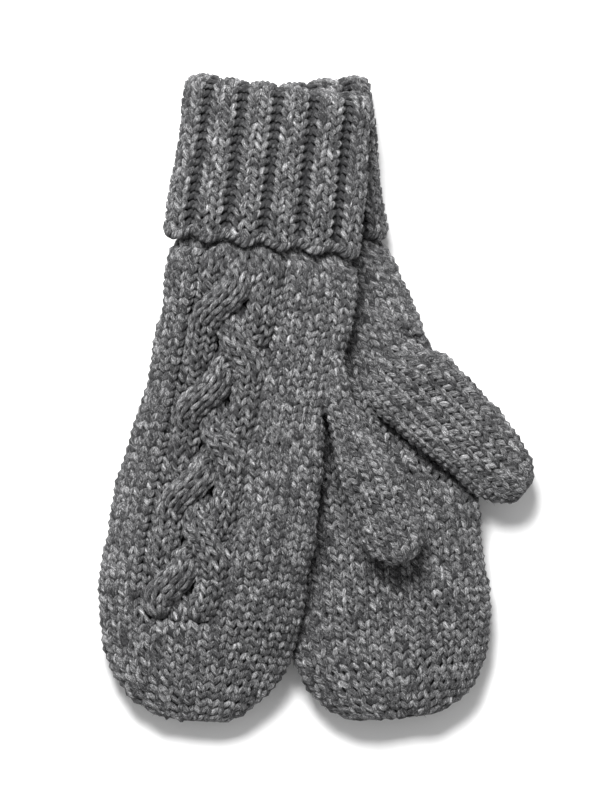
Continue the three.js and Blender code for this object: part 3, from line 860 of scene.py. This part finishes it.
def knitRib(store, surface, rows, relief, hem=0):
    for r in rows:
        n = cuff["ribs"] * 4
        q = np.arange(0, n * yarn["segments"] + 1) / yarn["segments"]
        within = q % 4
        # 1 over the knit columns, -1 over the purl ones, with a short change between
        knit = np.clip((1.0 - np.abs(((within + 1) % 4) - 2)) * 3.0, -1, 1)
        x, up, deep = loops(q, cuff["rowHeight"], knit)
        rib = np.floor(x / 4)
        turn = (rib + np.interp(x - rib * 4, np.arange(5), ribStops)) / cuff["ribs"]
        scallop = cuff["scallop"] * knit * hem * (1 - float(smooth(r / 12)))
        row = r + up + wander(q, yarn["jitter"] * 1.2) - scallop
        p, normal = read(surface, row, turn + cuff["ribOffset"] / cuff["ribs"])
        lift = np.where(knit > 0, cuff["knitLift"], cuff["purlSink"]) * knit * relief(r)
        height = deep * yarn["depth"] + (lift - yarn["sink"] + wander(q, yarn["jitter"]) + softly(p) * 0.8)
        radius = yarn["radius"] * (1 - 0.14 * (knit < 0)) * (1 + wander(q, 0.06))
        # painted shade: purl columns and the dipping parts of each loop are darker
        addYarn(store, p + normal * height[:, None], normal, radius, deep * 0.5 + 0.75 * knit - 0.2)


def makeCuff(side, m):
    bend = cuff["bend"]
    top = cuff["height"] - bend
    arc = math.pi * bend

    def ringAt(v):
        if v <= top:
            return cuffRing(m, v, 0, 192)
        if v <= top + arc:
            a = (v - top) / bend
            return cuffRing(m, top + bend * math.sin(a), bend * (1 - math.cos(a)), 192)
        return cuffRing(m, top - (v - top - arc), 2 * bend, 192)

    rows = np.arange(-2, top + arc + cuff["turnedIn"], 1.3)
    surface = surfaceOf(ringAt, rows)
    # the normal turns over with the fold, so it is taken from the direction of the knitting
    across = np.roll(surface["points"], -1, 1) - np.roll(surface["points"], 1, 1)
    down = np.gradient(surface["points"], axis=0)
    normal = np.cross(across, down)
    outward = np.sign((normal[0] * (surface["points"][0] - surface["points"][0].mean(0))).sum())
    surface["normal"] = outward * normal / np.maximum(1e-9, np.linalg.norm(normal, axis=2, keepdims=True))
    store = newStore()

    def relief(r):                            # the ribs stand out at the hem and flatten at the fold
        return 1 + 0.35 * (1 - float(smooth(r / 14))) - 0.55 * float(smooth((r - top + 1) / 6))

    knitRib(store, surface, np.arange(2.2, top + arc + 9, cuff["rowHeight"]), relief, hem=1)
    addBacking(store, surface, 0.5, top + arc + 6, cuff["backing"], thick=0.6)
    piece = makePiece(side + "TurnedCuff", store, materials["ribbed_wool"])
    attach(piece, side + "_cuff")
    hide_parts(side + "_turned_cuff")

    # cast-on edge: two plies of loops twisted round the hem
    store = newStore()
    hem = surfaceOf(lambda y: cuffRing(m, y, cuff["hemInset"], 192), np.arange(-5, 6, 1.0))
    stitches = float(hem["girth"][5]) / cuff["hemStitch"]
    q = np.arange(0, stitches * 14) / 14
    q = q[q <= round(stitches)]
    turn = q / round(stitches)
    ribWave = np.cos((turn * cuff["ribs"] - cuff["ribOffset"] - ribStops[1]) * 2 * np.pi)
    for phase in (0, math.pi):
        a = 2 * np.pi * q + phase + wander(q, 0.2)
        y = cuff["hemRoll"] * np.cos(a) - cuff["hemDrop"] - cuff["scallop"] * ribWave + wander(q, 0.3)
        p, normal = read(hem, y, turn)
        height = 1.1 * np.sin(a) + ribWave + wander(q, 0.3)
        radius = yarn["radius"] * (0.95 + wander(q, 0.05))
        # painted shade: each ply darker where it turns under, paler where it rises
        addYarn(store, p + normal * height[:, None], normal, radius, np.sin(a))
    piece = makePiece(side + "CastOnEdge", store, materials["edge_wool"])
    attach(piece, side + "_cuff")
    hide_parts(side + "_cast_on_edge")

    # wrist ribbing inside the turned cuff
    store = newStore()
    inset = cuff["wall"] + cuff["clearance"] + cuff["wristInset"]

    def wristRing(y):
        halfWidth = cuff["halfWidth"] - cuff["taper"] - inset
        x, z = outline(halfWidth, cuff["halfDepth"] - inset, cuff["power"], 192)
        return place(m, x, y, m["cuffLevel"] + z)

    high = cuff["height"] - cuff["foldRise"]
    wrist = surfaceOf(wristRing, np.arange(-2, high + 2, 1.5))
    knitRib(store, wrist, np.arange(2, high - 2, cuff["rowHeight"]), lambda r: cuff["wristRelief"])
    piece = makePiece(side + "WristRib", store, materials["ribbed_wool"])
    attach(piece, side + "_mitten")
    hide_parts(side + "_wrist_rib")


for side, m in mittens.items():
    print("knitting the", side, "mitten")
    flat = makeHand(side, m)
    makeCable(side, m, flat)
    makeThumb(side, m)
    makeCuff(side, m)

# The table, light and camera

studio = {
    "floor": 0.9, "floorHalf": 1.6, "world": 0.5, "key": 44.0, "keySize": 0.55, "keyAt": (-0.2, 0.8, 1.25),
    "lens": 500, "viewHeight": 0.36, "viewCentre": (-9.0, -1.35), "aimHeight": 0.03,
}


def makeTable():
    half = studio["floorHalf"]
    mesh = bpy.data.meshes.new("tableTop")
    corners = [(-half, -half, 0), (half, -half, 0), (half, half, 0), (-half, half, 0)]
    mesh.from_pydata(corners, [], [(0, 1, 2, 3)])
    table = bpy.data.objects.new("tableTop", mesh)
    bpy.context.scene.collection.objects.link(table)
    paper = bpy.data.materials.new("tablePaper")
    paper.use_nodes = True
    shader = paper.node_tree.nodes["Principled BSDF"]
    shader.inputs["Base Color"].default_value = (studio["floor"], studio["floor"], studio["floor"], 1)
    shader.inputs["Roughness"].default_value = 0.9
    mesh.materials.append(paper)


def makeLight():
    world = bpy.data.worlds.new("studio")
    bpy.context.scene.world = world
    world.use_nodes = True
    world.node_tree.nodes["Background"].inputs["Color"].default_value = (1, 1, 1, 1)
    world.node_tree.nodes["Background"].inputs["Strength"].default_value = studio["world"]
    light = bpy.data.lights.new("keyLight", "AREA")
    light.energy = studio["key"]
    light.size = studio["keySize"]
    lamp = bpy.data.objects.new("keyLight", light)
    bpy.context.scene.collection.objects.link(lamp)
    lamp.location = studio["keyAt"]
    lamp.rotation_mode = "QUATERNION"
    lamp.rotation_quaternion = (-Vector(studio["keyAt"])).to_track_quat("-Z", "Y")
    bpy.context.scene.view_settings.view_transform = "Standard"


def makeCamera():
    data = bpy.data.cameras.new("viewCamera")
    data.lens = studio["lens"]
    data.sensor_width = 36
    data.clip_start, data.clip_end = 0.1, 10
    camera = bpy.data.objects.new("viewCamera", data)
    bpy.context.scene.collection.objects.link(camera)
    x, y = (np.array(studio["viewCentre"]) - origin) / 1000
    camera.location = (x, y, studio["aimHeight"] + studio["viewHeight"] * data.lens / data.sensor_width)
    camera.rotation_euler = (0, 0, 0)
    bpy.context.scene.camera = camera


print("setting the table, light and camera")
makeTable()
makeLight()
makeCamera()
